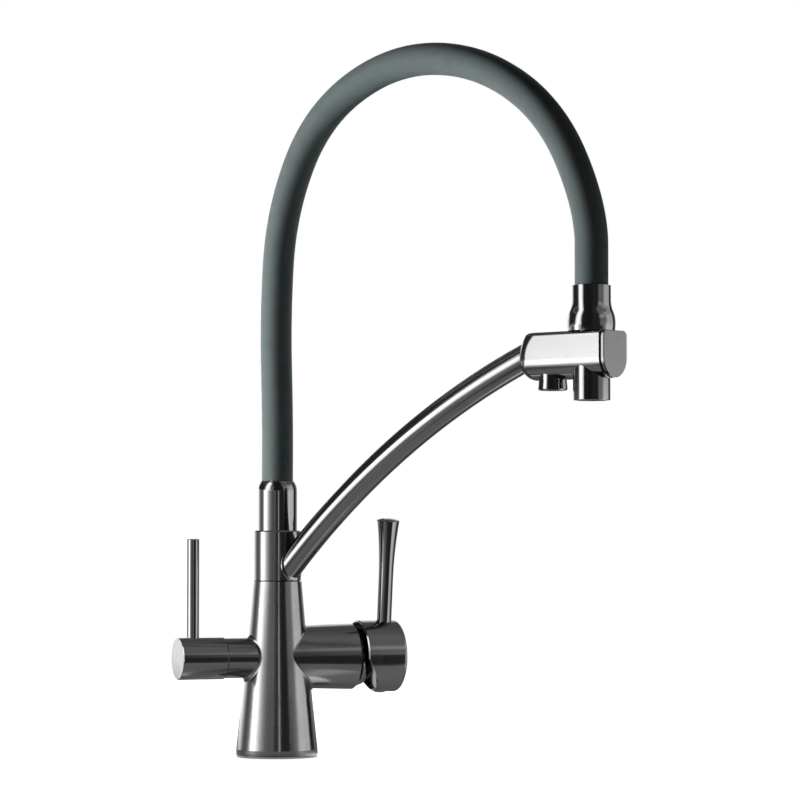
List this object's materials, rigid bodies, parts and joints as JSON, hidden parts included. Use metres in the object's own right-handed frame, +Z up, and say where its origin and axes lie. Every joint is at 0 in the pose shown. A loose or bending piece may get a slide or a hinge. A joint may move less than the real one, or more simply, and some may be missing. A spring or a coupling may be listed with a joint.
{
  "type": "drinking water filter tap",
  "caption": "Kitchen tap with a conical body, side mixer lever, filter-water handle, curved arm and silicone hose arch ending in one D-section head with twin outlets.",
  "frame": {"origin": "centre of the body's underside, on the worktop", "axes": "+Z up along the body; +X along the mixer valve, away from the body; -X along the filter valve; -Y towards the user"},
  "size_m": [0.1966, 0.2565, 0.4287],
  "materials": {
    "gunmetal_brushed": "fine satin brush, dark gunmetal coating",
    "gunmetal_satin": "half-bright dark gunmetal coating",
    "hose_silicone": "matte dark grey-green silicone",
    "hose_inner": "smooth translucent white",
    "seal_rubber": "black, smooth",
    "bearing_plastic": "natural white, moulded",
    "cartridge_plastic": "moulded, matt",
    "ceramic": "lapped white ceramic",
    "brass_parts": "turned, as machined",
    "screw_steel": "plain stainless steel"
  },
  "bodies": {
    "body": {"body_casting": "gunmetal_brushed", "base_gasket": "seal_rubber", "swivel_spigot": "brass_parts", "swivel_seals": "seal_rubber", "swivel_bushes": "bearing_plastic", "swivel_slide_ring": "bearing_plastic", "cartridge_base": "cartridge_plastic", "cartridge_port_seals": "seal_rubber", "cartridge_fixed_disc": "ceramic", "cartridge_shell": "cartridge_plastic", "cartridge_nut": "brass_parts", "mixer_dome_ring": "gunmetal_brushed", "filter_headpart": "brass_parts", "filter_headpart_seal": "seal_rubber", "filter_seat_seal": "seal_rubber", "filter_fixed_disc": "ceramic"},
    "mixer_rotor": {"cartridge_rotor": "cartridge_plastic", "cartridge_pivot_pin": "screw_steel"},
    "disc_carrier": {"cartridge_disc_carrier": "cartridge_plastic", "cartridge_moving_disc": "ceramic"},
    "mixer_handle": {"mixer_stem": "brass_parts", "mixer_cap": "gunmetal_brushed", "mixer_lever": "gunmetal_satin", "mixer_cap_screw": "screw_steel", "mixer_cap_plug": "gunmetal_satin"},
    "filter_handle": {"filter_drum": "gunmetal_brushed", "filter_lever": "gunmetal_satin", "filter_spindle": "brass_parts", "filter_moving_disc": "ceramic", "filter_spindle_seal": "seal_rubber", "filter_drum_screw": "screw_steel"},
    "spout": {"swivel_collar": "gunmetal_brushed", "collar_set_screw": "screw_steel", "spout_arm": "gunmetal_satin", "lower_ferrule": "gunmetal_satin", "lower_hose_fitting": "brass_parts", "hose_crimps": "screw_steel", "silicone_hose": "hose_silicone", "inner_hose": "hose_inner", "upper_hose_fitting": "brass_parts", "upper_ferrule": "gunmetal_satin", "outlet_head": "gunmetal_brushed", "head_end_plate": "gunmetal_brushed", "main_nozzle": "gunmetal_satin", "aerator_body": "bearing_plastic", "aerator_screens": "screw_steel", "aerator_jet_disc": "bearing_plastic", "aerator_washer": "seal_rubber", "filtered_outlet": "gunmetal_satin", "filtered_outlet_insert": "bearing_plastic", "filtered_outlet_washer": "seal_rubber"}
  },
  "joints": [
    {"name": "spout_swivel", "type": "hinge", "parent": "body", "child": "spout", "pos_m": [0, 0, 0.12], "axis": [0, 0, 1], "continuous": true},
    {"name": "filter_turn", "type": "hinge", "parent": "body", "child": "filter_handle", "pos_m": [-0.05, 0, 0.0607], "axis": [1, 0, 0], "range_deg": [0, 90]},
    {"name": "mixer_turn", "type": "hinge", "parent": "body", "child": "mixer_rotor", "pos_m": [0.046, 0, 0.0607], "axis": [1, 0, 0], "range_deg": [-51.6, 38.4]},
    {"name": "mixer_tilt", "type": "hinge", "parent": "mixer_rotor", "child": "mixer_handle", "pos_m": [0.046, 0, 0.0607], "axis": [0, 0.9934, 0.1149], "range_deg": [0, 25]},
    {"name": "disc_slide", "type": "slide", "parent": "mixer_rotor", "child": "disc_carrier", "axis": [0, -0.1149, 0.9934], "range_m": [0, 0.0041]}
  ],
  "couplings": [
    {"joint": "disc_slide", "follows": "mixer_tilt", "m_per_rad": 0.0092}
  ]
}
